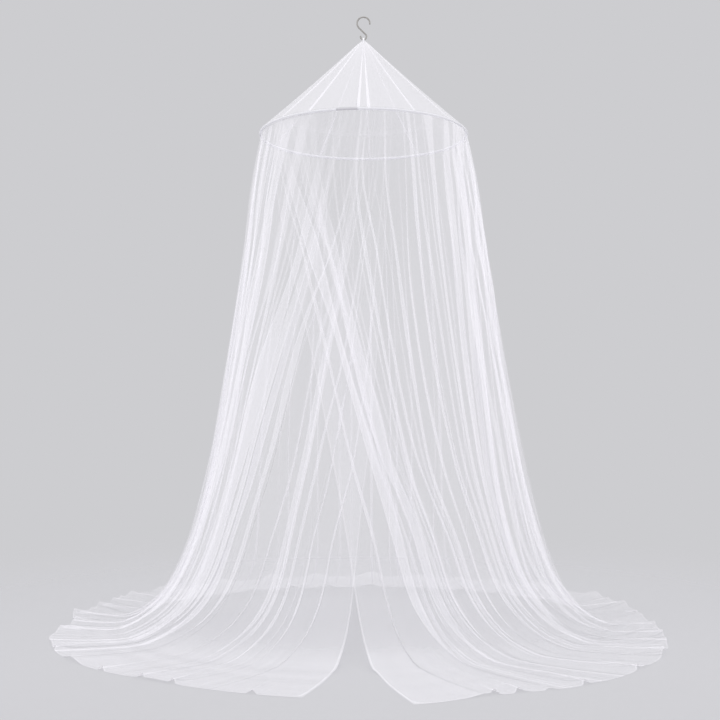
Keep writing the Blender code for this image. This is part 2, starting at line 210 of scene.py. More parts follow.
def make_net_finish():
    """Warp-knitted polyester net: alpha = threads of a diamond mesh * density + sewn hem."""
    made, tree, shader = new_finish("white_polyester_net", "#F8F7FB", 0.75, Sheen_Weight=0.35,
                                    Sheen_Roughness=0.45)
    cloth = add_node(tree, "ShaderNodeUVMap", {"uv_map": "cloth_metres"}).outputs["UV"]
    turned = add_node(tree, "ShaderNodeMapping", inputs={
        "Vector": cloth, "Rotation": (0.0, 0.0, math.pi / 4.0), "Scale": (1.0 / MESH_PITCH,) * 3})
    holes = add_node(tree, "ShaderNodeTexVoronoi",
                     {"voronoi_dimensions": "2D", "feature": "DISTANCE_TO_EDGE"},
                     {"Vector": turned.outputs["Vector"], "Scale": 1.0, "Randomness": 0.0})
    threads = add_node(tree, "ShaderNodeMapRange", {"interpolation_type": "SMOOTHSTEP"}, {
        "Value": holes.outputs["Distance"], "From Min": THREAD_CORE, "From Max": THREAD_RIM,
        "To Min": THREAD_ALPHA, "To Max": HOLE_ALPHA})
    # The density attribute also carries painted shade: thin lines on the floor where the net is thinned.
    dense = add_node(tree, "ShaderNodeAttribute", {"attribute_name": "thread_density"})
    veil = add_node(tree, "ShaderNodeMath", {"operation": "MULTIPLY"}, {
        0: threads.outputs["Result"], 1: dense.outputs["Fac"]})
    edge = add_node(tree, "ShaderNodeAttribute", {"attribute_name": "edge_distance"})
    hem = add_node(tree, "ShaderNodeMapRange", {"interpolation_type": "SMOOTHSTEP"}, {
        "Value": edge.outputs["Fac"], "From Min": HEM_WIDTH, "From Max": HEM_WIDTH + HEM_RIM,
        "To Min": HEM_ALPHA, "To Max": 0.0})
    on_line = add_node(tree, "ShaderNodeMath", {"operation": "COMPARE"}, {
        0: edge.outputs["Fac"], 1: STITCH_INSET, 2: STITCH_WIDTH})
    # A wave texture of scale s repeats every pi / (10 s) metres.
    waves = add_node(tree, "ShaderNodeTexWave", {"bands_direction": "DIAGONAL"}, {
        "Vector": cloth, "Scale": math.pi / (10.0 * STITCH_LENGTH)})
    dashes = add_node(tree, "ShaderNodeMath", {"operation": "MULTIPLY"}, {
        0: on_line.outputs["Value"], 1: waves.outputs["Fac"]})
    sewn = add_node(tree, "ShaderNodeMath", {"operation": "MULTIPLY_ADD"}, {
        0: dashes.outputs["Value"], 1: STITCH_ALPHA, 2: hem.outputs["Result"]})
    alpha = add_node(tree, "ShaderNodeMath", {"operation": "ADD", "use_clamp": True}, {
        0: veil.outputs["Value"], 1: sewn.outputs["Value"]})
    tree.links.new(alpha.outputs["Value"], shader.inputs["Alpha"])
    return made


white_net = make_net_finish()
print("net:", len(white_net.node_tree.nodes), "nodes, mesh drawn at", MESH_PITCH * 1000.0, "mm")

# %% [markdown]
# ## The wall's large form
#
# The wall is gathered on the hoop, hangs as a slim bell, and lies on the floor in a train. Its
# right panel starts left of the middle and laps over the left one. The tables are the same
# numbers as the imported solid's, so the fine cloth lies on it: rows go from the hoop to the hem,
# columns go along the gathered cloth, and each fold swings to its own place at the hem.

# %% Tables of the wall
HOOP_RADIUS = 0.322         # to the middle of the rod
HOOP_HEIGHT = 1.525         # over the floor
ROD_RADIUS = 0.003
SLEEVE_RADIUS = 0.0043
SOLID_SIDES = 8.0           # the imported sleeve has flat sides, so it reaches less far up and down
SLEEVE_REACH = SLEEVE_RADIUS * math.cos(math.pi / SOLID_SIDES)
GAP = 0.0003                # between the cloth and the sleeve
WALL_TOP = HOOP_HEIGHT - SLEEVE_REACH - GAP

# Heights, radii and depths in metres. Train, swings and rest are shares, from 0 to 1.
SECTION_COLUMNS = ("height", "side", "front", "train", "swing_right", "swing_left", "fold",
                   "layer", "rest")
WALL_SECTIONS = (
    (WALL_TOP, 0.321, 0.321, 0, 0, 0, 0.0034, 0.0045, 0),
    (1.43, 0.339, 0.337, 0, 0.08, 0.05, 0.007, 0.008, 0),
    (1.32, 0.357, 0.352, 0, 0.165, 0.11, 0.01, 0.0115, 0),
    (1.19, 0.373, 0.365, 0, 0.275, 0.19, 0.0125, 0.014, 0),
    (1.05, 0.393, 0.382, 0, 0.395, 0.27, 0.0145, 0.016, 0),
    (0.9, 0.415, 0.398, 0, 0.51, 0.35, 0.016, 0.016, 0),
    (0.74, 0.441, 0.416, 0, 0.61, 0.435, 0.017, 0.016, 0),
    (0.58, 0.47, 0.43, 0, 0.685, 0.52, 0.0175, 0.016, 0),
    (0.42, 0.505, 0.44, 0, 0.755, 0.635, 0.0175, 0.015, 0),
    (0.28, 0.544, 0.447, 0, 0.805, 0.71, 0.016, 0.013, 0),
    (0.17, 0.587, 0.46, 0, 0.84, 0.765, 0.014, 0.009, 0.1),
    (0.09, 0.635, 0.5, 0, 0.87, 0.81, 0.011, 0.005, 0.4),
    (0.035, 0.69, 0.57, 0, 0.9, 0.85, 0.009, 0, 0.8),
    (0, 0.755, 0.66, 0, 0.93, 0.89, 0.007, 0, 1),
    (0, 0.755, 0.66, 0.5, 0.965, 0.94, 0.007, 0, 1),
    (0, 0.755, 0.66, 1, 1, 1, 0.006, 0, 1),
)
# Where the cloth that hangs from one angle of the hoop reaches the hem, in degrees.
SWING_COLUMNS = ("hoop", "hem")
FOLD_SWINGS = (
    (-54, 6.8), (-43, 20), (-6, 30), (18, 50), (48, 74),
    (90, 102), (135, 140), (180, 180), (225, 218), (270, 250),
    (315, 278), (338, 293), (350, 302), (367, 332), (375, 351),
)
HEM_COLUMNS = ("angle", "radius")
HEM_OUTLINE = (
    (6.8, 0.968), (20, 0.93), (36, 0.955), (60, 0.937), (90, 0.897),
    (106, 0.93), (122, 0.955), (150, 0.935), (180, 0.945), (210, 0.94),
    (239, 0.972), (255, 0.925), (262, 0.95), (270, 0.91), (286, 0.948),
    (304, 0.942), (320, 0.914), (336, 0.903), (351, 0.915),
)
WALL_FOLDS = 31
FLOOR_CREST = 0.009         # how high a main fold stands on the floor
HEM_SCALLOP = 0.003         # how far it draws the hem in
swings = read_table(SWING_COLUMNS, FOLD_SWINGS)
hem_outline = read_table(HEM_COLUMNS, HEM_OUTLINE)
FIRST_ANGLE, LAST_ANGLE = swings["hoop"][0], swings["hoop"][-1]
HOOP_RUN = HOOP_RADIUS * math.radians(LAST_ANGLE - FIRST_ANGLE)
print("wall sections:", len(WALL_SECTIONS), "- run along the hoop", round(HOOP_RUN, 2), "m")

# %% [markdown]
# ## Where the pleats run
#
# Where the net is gathered, it is laid back and forth, and each tuck runs from the hoop to the hem
# as a fall line. Most lines drop straight for half the way and swing outwards near the floor. The
# ones beside the two front edges swing early, because those edges cross. The table holds the lines
# that show best: the angle of each at eight levels, how far its tuck laps over itself at five of
# them, how sharply it is creased, and which of its two edges lies on top. A line with no lap is
# only a guide. Finer pleats are put in between by a seeded list, closer at the sides, and each
# follows the lines on both sides of it.

# %% Fall lines
LEVELS = ("hoop", "shoulder", "chest", "waist", "thigh", "knee", "foot", "hem")
LEVEL_ROWS = np.array((0.0, 1.7, 3.6, 5.4, 7.2, 9.0, 13.0, 15.0))
LAPS = ("lap_hoop", "lap_chest", "lap_waist", "lap_knee", "lap_hem")
LAP_ROWS = np.array((0.0, 3.6, 5.4, 9.0, 15.0))
LINE_COLUMNS = LEVELS + LAPS + ("crease", "lean")
# Angles are in degrees, laps in millimetres.
FALL_LINES = (
    (-54, -45.5, -32.7, -20.4, -11.5, -5.1, 2.5, 6.8, 0, 0, 0, 0, 0, 0, 1),
    (-52.3, -41.5, -25.5, -14.5, -5, 5, 13.5, 18, 4, 6, 8, 9, 7, 0.8, 1),
    (-48.5, -35.5, -20.5, -8, 2.9, 13.2, 24.5, 29, 20, 40, 24, 32, 22, 1, 1),
    (-41, -29.5, -16, -5.2, 5.5, 16, 27.5, 32, 14, 18, 10, 6, 6, 0.5, -1),
    (-36.5, -26, -14.5, -4, 7, 18, 29.5, 35, 16, 20, 8, 6, 5, 0.5, 1),
    (-26.3, -21.5, -12, -2.8, 8, 20, 32, 38, 20, 26, 34, 22, 14, 0.7, -1),
    (-16, -14, -8, 1, 10.8, 22, 35, 41, 3, 6, 5, 5, 5, 0.4, 1),
    (-1, -2.9, 0.9, 7.1, 14.7, 25, 38, 44, 4, 7, 8, 8, 6, 1, 1),
    (2, -0.6, 5.6, 11.4, 18.5, 31, 43, 49, 4, 6, 6, 6, 5, 0.8, -1),
    (10.5, 9.9, 13.7, 17.3, 22.5, 33.5, 45.5, 51.5, 5, 6, 6, 6, 5, 0.7, 1),
    (20.3, 19.4, 18.5, 21.4, 27.5, 37, 48.5, 54.5, 3, 4, 10, 8, 6, 0.7, 1),
    (22.4, 23.2, 23.8, 26.8, 32.6, 42, 54, 60, 16, 10, 10, 10, 8, 1, 1),
    (26, 26, 28.4, 32, 36.5, 45, 57, 63, 3, 8, 6, 6, 5, 0.5, -1),
    (34.6, 33.5, 34.2, 36.5, 40, 47.5, 59.5, 66, 28, 8, 6, 6, 6, 0.8, 1),
    (48.2, 43, 42.2, 42.5, 44.5, 50.5, 63.5, 70.5, 22, 22, 16, 12, 10, 0.7, -1),
    (61, 53, 51, 50, 50.5, 54.5, 68, 76, 36, 42, 30, 20, 14, 0.6, 1),
    (75, 68.5, 64.2, 63, 63.4, 67, 82, 89, 30, 30, 24, 18, 14, 0.7, 1),
    (100, 97, 94, 93, 94, 97, 104, 108, 0, 0, 0, 0, 0, 0, 1),
    (140, 139, 138, 137, 138, 140, 143, 145, 0, 0, 0, 0, 0, 0, 1),
    (180, 180, 180, 180, 180, 180, 180, 180, 0, 0, 0, 0, 0, 0, 1),
    (220, 221, 222, 222, 221, 219, 216, 214, 0, 0, 0, 0, 0, 0, 1),
    (260, 262, 263, 263, 261, 258, 252, 248, 0, 0, 0, 0, 0, 0, 1),
    (290, 288, 285, 281, 278, 275, 270, 266, 28, 30, 26, 18, 14, 0.6, -1),
    (318, 312, 305, 297, 292, 287, 281, 277, 30, 30, 24, 18, 14, 0.6, 1),
    (343.5, 337.5, 329, 318, 309, 302, 295, 291, 14, 28, 44, 30, 16, 0.9, 1),
    (349, 342.5, 333, 322, 313, 305.5, 297.5, 294, 8, 16, 32, 24, 12, 0.7, -1),
    (353, 345.5, 336, 325.5, 316, 308, 300, 296, 6, 12, 26, 20, 12, 0.7, 1),
    (359.3, 354.4, 344.5, 332.5, 323, 314, 305, 301, 4, 8, 20, 14, 10, 0.8, -1),
    (361.5, 357, 349.5, 339.5, 332.5, 324, 315, 311, 3, 6, 10, 8, 6, 0.5, 1),
    (363.5, 359, 351.8, 343.6, 336.6, 329.5, 321, 317, 3, 6, 10, 10, 8, 0.8, 1),
    (365.5, 361.5, 354.5, 346.5, 339.6, 333, 324.5, 320.5, 2, 5, 8, 8, 6, 0.7, -1),
    (368.5, 364.5, 358.6, 352.5, 344.3, 337, 329, 325, 2, 5, 8, 8, 6, 0.6, 1),
    (370, 366.5, 359.8, 354.8, 348.5, 341, 334, 329, 2, 4, 6, 5, 5, 0.7, 1),
    (373, 370, 366, 362.1, 356.6, 347.5, 340, 336, 2, 4, 6, 6, 6, 0.6, -1),
    (375, 372.8, 369.3, 365.8, 362, 358, 353.6, 351, 0, 0, 0, 0, 0, 0, 1),
)
# Finer pleats: from and to which angle on the hoop, their spacing in degrees, and how far they lap
# at the hoop and low down, in millimetres.
PLEAT_ZONES = (
    (-47, 55, 8, 2, 5),
    (55, 118, 2.5, 17, 14),
    (118, 240, 7, 5, 7),
    (240, 300, 2.5, 17, 14),
    (300, 330, 4, 14, 12),
    (330, 360, 4, 4, 9),
    (360, 373, 6, 2, 5),
)
LEAST_APART = 1.6           # degrees between two lines, at every level
PLACE_JITTER = 0.35         # how far a finer pleat may stray, in spacings
LAP_SHARES = (0.0, 0.3, 0.6, 0.9, 1.3)      # how far each lap is on its way from high to low
LAP_SPREAD = (0.3, 1.2)     # the least and the most that a finer pleat laps, in shares
CREASE_SPREAD = (0.1, 0.7)  # and how sharply it is creased
LEANING_SHARE = 0.6         # of the finer pleats, the share whose first edge lies on top


def lines_in_order():
    """The table's lines that never come close to the line before, as rows of angles by level."""
    lines = read_table(LINE_COLUMNS, FALL_LINES)
    angles = np.stack([lines[name] for name in LEVELS], axis=1)
    kept = [0]
    for number in range(1, len(angles)):
        if (angles[number] - angles[kept[-1]]).min() > LEAST_APART:
            kept.append(number)
    return angles[kept]


def follow_lines(rows, flow, first, last):
    """Angle at each row of the places in flow, which are angles on the hoop: a smooth curve through
    the lines at that row, which begins and ends at the cloth's own two edges."""
    lines = lines_in_order()
    at_rows = np.stack([smooth_between(LEVEL_ROWS, one, rows) for one in lines], axis=1)
    at_rows[:, 0], at_rows[:, -1] = first, last
    return np.array([smooth_between(lines[:, 0], one, flow) for one in at_rows])


def list_pleats(seed):
    """The table's pleats, then the seeded ones, each with a line between the table's lines."""
    lines = read_table(LINE_COLUMNS, FALL_LINES)
    guides = lines_in_order()
    lapped = lines["lap_chest"] > 0.0
    found = [{name: column[lapped] for name, column in lines.items()}]
    dice = np.random.default_rng(seed)
    for start, end, spacing, high, low in PLEAT_ZONES:
        count = int(round((end - start) / spacing))
        stray = dice.uniform(-PLACE_JITTER, PLACE_JITTER, count)
        hoop = start + (np.arange(count) + 0.5 + stray) * spacing
        finer = {name: smooth_between(guides[:, 0], guides[:, level], hoop)
                 for level, name in enumerate(LEVELS)}
        for name, share in zip(LAPS, LAP_SHARES):
            finer[name] = (high + (low - high) * share) * dice.uniform(*LAP_SPREAD, count)
        finer["crease"] = dice.uniform(*CREASE_SPREAD, count)
        finer["lean"] = np.where(dice.uniform(size=count) < LEANING_SHARE, 1.0, -1.0)
        found.append(finer)
    return {name: np.concatenate([part[name] for part in found]) for name in LINE_COLUMNS}


pleats = list_pleats(seed=12)
print("pleats:", len(pleats["hoop"]), "along", len(lines_in_order()), "lines in order")

# %% [markdown]
# ## How one pleat is laid
#
# If every point of a sheet moves by the same slanted arrow times a wave, the sheet can lap over
# itself in plan and still never cuts through itself, because two points that meet would need the
# same wave value, and then they are the same point. So a pleat is one short wave along one arrow:
# a long reach sideways and a small tilt outwards. A fold's edge, where the cloth turns back, is
# pressed, and there the threads lie close and look whiter: the crease.
#
# The rule holds for one pleat with one arrow. Here the tilt changes on the way down, neighbours
# overlap and may lean opposite ways, and the crush comes on top, so layers of this wall do cut
# each other in places: by a tenth of a millimetre as a rule, and by 3 mm at the most.

# %% Pleat maker
PLEAT_WAVE_TOP = 1.299      # the highest value of sin(pi x) (1 + cos(pi x)), at x = 1/3
PLEAT_FEATHER = 0.0035      # cloth on each side of a tuck that bends but doesn't lap
CREASE_WIDTH = 0.0012
TUCK_SHARE = 0.35           # how hard the middle of a tuck is pressed, beside its two edges
FULL_CREASE_LAP = 0.006     # a tuck that laps this much or more has its full crease
LAP_UNEVEN = 0.15           # a lap grows and shrinks by this share on its way down
LAP_OPENS = 0.8             # on the floor a lap opens by this share
OPENING_ROWS = (10.5, 13.5)         # which it does between these two table rows
TUCK_MIDDLE = (0.55, 0.25)          # a tuck isn't pressed past the first x, and fully inside the second
TILT_ROWS = np.array((0.0, 1.7, 5.4, 13.0))
TILTS = np.array((0.05, 0.14, 0.26, 0.30))


def at_places(places, known, values):
    """Read one value for each row: values (or known places) may differ from row to row."""
    known, values = np.broadcast_arrays(known, values)
    return np.array([np.interp(*one) for one in zip(places, known, values)])


def lay_pleats(rows, flow, turned, metres_per_degree):
    """Sum over the pleats of reach * sin(pi x) (1 + cos(pi x)) / top, x from -1 to 1 across each.
    Gives the shift sideways, the lift outwards, the lift that keeps lapped cloth above a floor,
    and how hard the cloth is pressed, all as arrays of rows by columns."""
    shift, lift, above, pressed = (np.zeros(turned.shape) for _ in range(4))
    tilt = smooth_between(TILT_ROWS, TILTS, rows)
    for number in range(len(pleats["hoop"])):
        line = np.array([pleats[name][number] for name in LEVELS])
        place = at_places(smooth_between(LEVEL_ROWS, line, rows), turned, flow)
        scale = at_places(place, flow, metres_per_degree)
        laps = np.array([pleats[name][number] for name in LAPS]) / 1000.0
        lap = smooth_between(LAP_ROWS, laps, rows)
        lap = lap * (1.0 + LAP_UNEVEN * np.sin(1.7 * rows + 2.3 * number))
        strength = np.clip(lap / FULL_CREASE_LAP, 0.0, 1.0) * pleats["crease"][number]
        lap = lap * (1.0 - LAP_OPENS * ease(*OPENING_ROWS, rows))
        half = 0.5 * lap + PLEAT_FEATHER
        reach = 0.5 * lap + half / 3.0
        near = (flow > (place - half / scale).min()) & (flow < (place + half / scale).max())
        x = (flow[near] - place[:, None]) * (scale / half)[:, None]
        x = np.clip(x, -1.0, 1.0)
        wave = np.sin(math.pi * x) * (1.0 + np.cos(math.pi * x)) / PLEAT_WAVE_TOP
        raised = (tilt * reach)[:, None]
        shift[:, near] -= reach[:, None] * wave
        lift[:, near] += raised * wave * pleats["lean"][number]
        above[:, near] += raised * (1.0 + np.cos(math.pi * x)) / 2.0
        from_edge = (np.abs(x) - 1.0 / 3.0) * half[:, None] / CREASE_WIDTH
        tuck = np.exp(-from_edge ** 2) + TUCK_SHARE * ease(*TUCK_MIDDLE, np.abs(x))
        pressed[:, near] = np.maximum(pressed[:, near], strength[:, None] * tuck)
    return shift, lift, above, pressed


# %% [markdown]
# ## The wall as one formula
#
# The grid's columns run down the fall lines, so that a pleat never crosses them: a tuck that cuts
# across a grid comes out as a saw's edge. The cloth itself swings a little less than the lines, so
# each grid point asks which place of the cloth lies there. The radius is the bell plus its share of
# the train, and three waves are added: the 31 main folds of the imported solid, which stay with the
# cloth, then the pleats and a fine crush, which go with the lines. On the floor only the upper half
# of each fold is left, as a ridge. Finer waves still make the cloth a little denser here and there.

# %% Waves of the wall
def fine_waves(count, seed, low, high, across, drop):
    """Sum of sines, low to high waves along the cloth, whose phases drift slowly down the drop."""
    dice = np.random.default_rng(seed)
    total = np.zeros(np.broadcast_shapes(across.shape, drop.shape))
    for _ in range(count):
        waves = dice.uniform(low, high)
        start = dice.uniform(0.0, math.tau)
        drift = dice.normal(0.0, 2.0)
        total += np.sin(math.tau * waves * across + start + drift * drop) / math.sqrt(count)
    return total


def main_folds(across):
    """Phase of the 31 main folds and their share of the full depth, both a little uneven."""
    phase = WALL_FOLDS * across + 0.26 * np.sin(math.tau * 3.7 * across + 1.0)
    phase = phase + 0.14 * np.sin(math.tau * 8.3 * across)
    depth = 0.80 + 0.16 * np.sin(math.tau * 5.3 * across + 0.5)
    depth = depth + 0.16 * np.sin(math.tau * 11.7 * across)
    return math.tau * phase, np.clip(depth, 0.5, 1.0)


# %% [markdown]
# ### Which cloth lies where
#
# Two things are worked out for each grid point before anything moves: at which angle it hangs, and
# which place along the hoop its cloth was gathered from. How dense the threads look goes with that
# place. The side bundles are drawn in closer. The two front ends are stretched smooth under the
# hoop and lie thin there. On the floor the cloth lies in about two layers, one mesh for both.

# %% Place and closeness of the cloth
CLOTH_SAMPLES = 4000        # places along the hoop, at which the swing of the cloth is worked out
OVER_THE_BACK = (90.0, 270.0)       # degrees between which the right side passes into the left one
WAIST_ROWS = (1.5, 8.0)     # table rows between which the top's closeness passes into the waist's
FLOOR_ROWS = (11.2, 13.0)   # and that of the hanging net into the floor's
# How close the threads lie, 1 being the net laid flat: by place along the hoop, at three levels.
CLOSENESS_COLUMNS = ("place", "top", "waist", "floor")
CLOSENESS = (
    (-54, 0.28, 1.08, 2.7),
    (-25, 0.26, 1, 2.25),
    (20, 0.9, 1, 1.85),
    (60, 1.35, 1.08, 1.38),
    (90, 1.3, 1.3, 1.2),
    (125, 0.9, 0.97, 1.2),
    (180, 0.45, 0.92, 1.3),
    (235, 0.8, 1, 1.15),
    (270, 1.1, 1.15, 1.05),
    (300, 1.05, 1.12, 1.45),
    (322, 0.85, 1.45, 2),
    (345, 0.22, 1.08, 2.4),
    (375, 0.18, 0.98, 2.45),
)


def thread_closeness(rows, at_hoop):
    """The table's three levels, joined by two smooth steps down the wall."""
    table = read_table(CLOSENESS_COLUMNS, CLOSENESS)
    level = {name: np.interp(at_hoop, table["place"], table[name]) for name in CLOSENESS_COLUMNS[1:]}
    below_top = ease(*WAIST_ROWS, rows)[:, None]
    near_floor = ease(*FLOOR_ROWS, rows)[:, None]
    hanging = level["top"] + (level["waist"] - level["top"]) * below_top
    return hanging + (level["floor"] - hanging) * near_floor


def place_cloth(rows, flow, section):
    """Angle of each grid point and place of its cloth along the hoop. Cloth turns from its place at
    the hoop by the swing's share of the way to its place at the hem. The right side's swing passes
    into the left side's over the back."""
    cloth = np.linspace(FIRST_ANGLE, LAST_ANGLE, CLOTH_SAMPLES)
    at_hem = smooth_between(swings["hoop"], swings["hem"], cloth)
    left_share = ease(*OVER_THE_BACK, cloth)
    swing = section["swing_right"] * (1.0 - left_share) + section["swing_left"] * left_share
    cloth_turned = cloth + (at_hem - cloth) * swing
    turned = follow_lines(rows, flow, cloth_turned[:, 0], cloth_turned[:, -1])
    return turned, at_places(turned, cloth_turned, cloth)


# %% [markdown]
# ### Bell, hem and floor
#
# The hem is not a clean curve. Fold ends stand up at it and draw it in, and a few of them show as
# small white notches. They are placed by a short table, as angles on the floor. Where the wall
# comes down on the floor, its profile bends through a hyperbola, which is smooth and never dips
# under the floor.

# %% Profile of the wall
NOTCHES = (19.5, 23.3, 34.7, 48.5, 64.0, 82.0, 100.0, 115.0, 131.0, 229.0, 243.0, 257.0, 267.0, 279.0,
           294.0, 313.5, 322.4, 328.8, 343.1)
NOTCH_WIDTH = 0.5           # degrees
NOTCH_DEPTH, NOTCH_RISE = 0.007, 0.010      # how far a notch goes in and stands up
SHEET_MIDDLE = 0.001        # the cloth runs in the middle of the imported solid's 2 mm
FLOOR_SLOPE = 0.55          # how steeply the wall comes down on the floor
FLOOR_BEND = 0.016          # the bend there is a hyperbola, a quarter of this over the corner
TRAIN_LENGTH = 0.24         # from the wall's foot to the hem, for the distance down the cloth
TRAIN_ROW = 13.0            # the table row at which the train begins


def bell_radius(angle, section):
    """An oval at each height: 1 / r = hypot(sin a / side, cos a / front)."""
    return 1.0 / np.hypot(np.sin(angle) / section["side"], np.cos(angle) / section["front"])


def radius_to(hem_radius, bell, train):
    """The bell's radius plus the train's share of the way from there to the hem."""
    return bell + (hem_radius - bell) * train


def distance_down(bell, height, train):
    """Distance from the hoop down the first column: steps of hypot(radius, height), then train."""
    profile = np.hypot(np.gradient(bell[:, 0]), np.gradient(height[:, 0]))
    profile = profile + np.gradient(train[:, 0]) * TRAIN_LENGTH
    return np.cumsum(profile) - profile[0]


def height_over_floor(height, beyond_bell, rest):
    """The table's height less the slope on the floor, bent through a hyperbola: (h + hypot(h, b)) / 2,
    less b / 4, and never below 0."""
    height = height - FLOOR_SLOPE * beyond_bell * (rest > 0.99)
    return np.maximum((height + np.hypot(height, FLOOR_BEND)) / 2.0 - rest * FLOOR_BEND / 4.0, 0.0)


# %% [markdown]
# ### All of it together
#
# A wave that hangs free moves the cloth both ways. On the floor only its upper half is left. The
# right panel passes outside the left one at the front, so its cloth moves out by half a layer and
# the left panel's moves in, and both have a little less room for their folds there.

# %% Wall surface
# How far the main folds and the crush move the cloth, by table row, outwards and sideways.
ARROW_COLUMNS = ("row", "fold_share", "fold_side", "crush_out", "crush_side")
WAVE_ARROWS = (
    (0, 0.5, 0.001, 0.0002, 0.0002),
    (0.6, 0.7, 0.002, 0.0002, 0.0003),
    (2, 0.8, 0.0035, 0.0002, 0.0003),
    (4, 0.8, 0.005, 0.0002, 0.0003),
    (7, 0.8, 0.006, 0.0002, 0.0004),
    (10, 0.8, 0.0065, 0.0002, 0.0004),
    (15, 0.8, 0.0065, 0.0002, 0.0004),
)
# Added density along a pressed edge, by table row. It falls below zero on the floor, where it thins the
# net along the laps' edges into thin grey lines: painted shade for the shadows in the floor's folds.
PRESSING_ROWS = (0.0, 1.5, 3.5, 10.5, 13.0, 15.0)
PRESSING_AND_PAINTED_SHADE = (0.0, 0.6, 1.6, 1.4, -1.7, -1.7)
CROWDED = 0.3               # the share of a wave's room that is lost where the panels lap
EDGE_START, EDGE_END = -2.0, 10.0   # degrees from a front edge at which folds begin and are full
RIGHT_BACK_IN_LINE = (100.0, 20.0)  # up to 20 degrees the right panel passes outside the left one
LEFT_OUT_OF_LINE = (240.0, 300.0)   # and from 300 degrees on the left one passes inside
ABOVE_SHARE = 1.1           # a lap on the floor rises by this much of its own lift
CREST_BEHIND = 1.15         # how high the fold ends stand, at the sides and the back
CREST_IN_FRONT = 0.30       # and in front, where the train lies flat
STREAKS = 0.05              # how unevenly the threads lie, in fine lines down the cloth
PRESSED_STREAKS = 0.04
PACKING_CREASES = 0.06      # creases from the package lie across the cloth, and show low down
CREASE_ROWS = (8.0, 12.0)   # table rows between which they come in


def wall_surface(rows, flow):
    """Points, place of the cloth, distance down it, and density with painted shade lines on the floor,
    for table rows and fall lines.
    """
    known = np.arange(len(WALL_SECTIONS), dtype=float)
    section = read_table(SECTION_COLUMNS, WALL_SECTIONS)
    section = {name: smooth_between(known, column, rows)[:, None] for name, column in section.items()}
    arrow = read_table(ARROW_COLUMNS, WAVE_ARROWS)
    at = arrow["row"]
    arrow = {name: smooth_between(at, column, rows)[:, None] for name, column in arrow.items()}
    rest, train = section["rest"], section["train"]

    turned, at_hoop = place_cloth(rows, flow, section)
    bell = bell_radius(np.radians(turned), section)
    hem_radius = smooth_between(hem_outline["angle"], hem_outline["radius"], turned)
    plain_radius = radius_to(hem_radius, bell, train)
    down = distance_down(bell, section["height"], train)
    drop = (down / down[-1])[:, None]

    across = (at_hoop - FIRST_ANGLE) / (LAST_ANGLE - FIRST_ANGLE)
    phase, depth = main_folds(across)
    first_edge = ease(FIRST_ANGLE + EDGE_START, FIRST_ANGLE + EDGE_END, at_hoop)
    last_edge = ease(LAST_ANGLE - EDGE_START, LAST_ANGLE - EDGE_END, at_hoop)
    edge = np.minimum(first_edge, last_edge)
    fold = np.cos(phase) * depth * edge
    upper_fold = np.maximum(fold, 0.0)
    flow_share = (flow - FIRST_ANGLE) / (LAST_ANGLE - FIRST_ANGLE)
    crush = fine_waves(count=44, seed=5, low=70.0, high=230.0, across=flow_share, drop=drop) * edge
    upper_crush = np.maximum(crush, 0.0)
    metres_per_degree = np.gradient(turned, flow, axis=1) * plain_radius * math.pi / 180.0
    shift, lapped, above, pressed = lay_pleats(rows, flow, turned, metres_per_degree)

    side = arrow["fold_side"] * (fold + (upper_fold - fold) * rest)
    side = shift - side - arrow["crush_side"] * (crush + (upper_crush - crush) * rest)
    turned = turned + np.degrees(side / plain_radius)
    angle = np.radians(turned)
    bell = bell_radius(angle, section)
    notch = sum(np.exp(-((turned - place) / NOTCH_WIDTH) ** 2) for place in NOTCHES) * train ** 2
    hem_radius = smooth_between(hem_outline["angle"], hem_outline["radius"], turned)
    hem_radius = hem_radius - HEM_SCALLOP * depth * np.cos(phase) - NOTCH_DEPTH * notch
    radius = radius_to(hem_radius, bell, train)

    outside = ease(*RIGHT_BACK_IN_LINE, at_hoop)
    inside = ease(*LEFT_OUT_OF_LINE, at_hoop)
    crowding = 1.0 - CROWDED * np.maximum(outside, inside) * (1.0 - rest)
    hanging = arrow["fold_share"] * section["fold"] * fold + arrow["crush_out"] * crush + lapped
    in_front = ease(0.2, 0.8, np.cos(angle))
    crest = CREST_BEHIND + (CREST_IN_FRONT - CREST_BEHIND) * in_front
    crest = FLOOR_CREST * (1.0 + train ** 2) * crest
    lying = crest * upper_fold ** 1.5 + arrow["crush_out"] * upper_crush
    lying = lying + np.maximum(lapped + ABOVE_SHARE * above, 0.0) + NOTCH_RISE * notch
    lift = (hanging + (lying - hanging) * rest) * crowding
    lift = lift + section["layer"] * (outside - inside) + SHEET_MIDDLE
    height = height_over_floor(section["height"], radius - bell, rest)

    # Waves stand out along the profile's own outward direction, which turns from level to upright.
    run, fall = np.gradient(radius, axis=0), -np.gradient(height, axis=0)
    length = np.hypot(run, fall)
    level, upright = fall / length, run / length
    level[0], upright[0] = 1.0, 0.0
    on_floor = rows > TRAIN_ROW
    level[on_floor], upright[on_floor] = 0.0, 1.0
    points = around(radius + lift * level, angle, np.maximum(height + lift * upright, SHEET_MIDDLE))

    streaks = fine_waves(count=36, seed=8, low=160.0, high=600.0, across=flow_share, drop=drop)
    creases = fine_waves(count=52, seed=3, low=13.0, high=26.0, across=drop, drop=flow_share)
    uneven = PACKING_CREASES * creases * ease(*CREASE_ROWS, rows)[:, None]
    uneven = uneven + (STREAKS + PRESSED_STREAKS * pressed) * streaks
    # On the floor the table's values below zero thin the net along the fold edges: painted shade for the
    # folds' shadows.
    pressing_and_painted_shade = pressed * np.interp(rows, PRESSING_ROWS, PRESSING_AND_PAINTED_SHADE)[:, None]
    density = thread_closeness(rows, at_hoop) * (1.0 + uneven) + pressing_and_painted_shade
    return points + (0.0, 0.0, FLOOR), at_hoop, down, density


# %% [markdown]
# ### Handed over
#
# Each finished piece is then handed over to the frame: it rides on the canopy's only body and takes a
# imported solid's place.


def hand_over(piece, node):
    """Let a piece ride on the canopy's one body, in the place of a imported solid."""
    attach(piece, "root")
    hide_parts(node)
